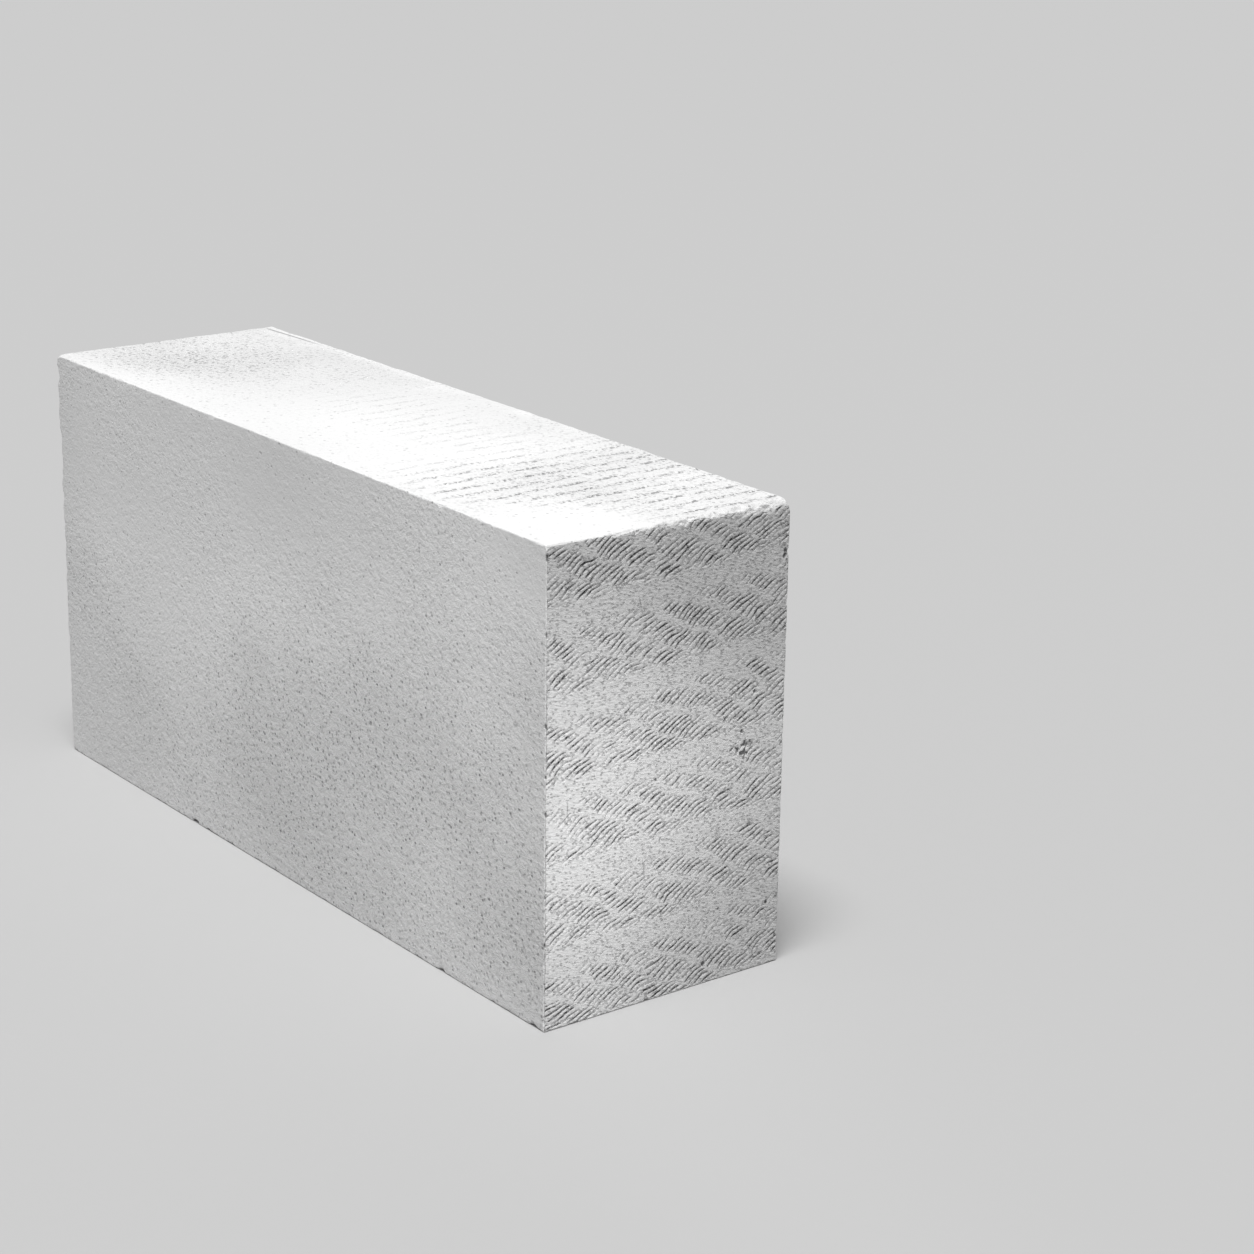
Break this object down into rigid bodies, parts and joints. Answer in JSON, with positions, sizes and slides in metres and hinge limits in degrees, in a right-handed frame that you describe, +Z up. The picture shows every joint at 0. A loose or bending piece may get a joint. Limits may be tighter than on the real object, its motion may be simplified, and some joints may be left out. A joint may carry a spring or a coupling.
{
  "type": "aerated concrete block",
  "caption": "Solid aerated concrete wall block with sawn faces, rubbed arrises, knocked corners and small chips.",
  "frame": {"origin": "middle of the lower bed face, which the block stands on", "axes": "+X along the length, +Y through the wall's thickness, +Z up"},
  "size_m": [0.6, 0.18, 0.3],
  "materials": {
    "aerated_concrete": "sawn, matt, finely porous"
  },
  "bodies": {
    "root": {"block": "aerated_concrete"}
  },
  "joints": []
}
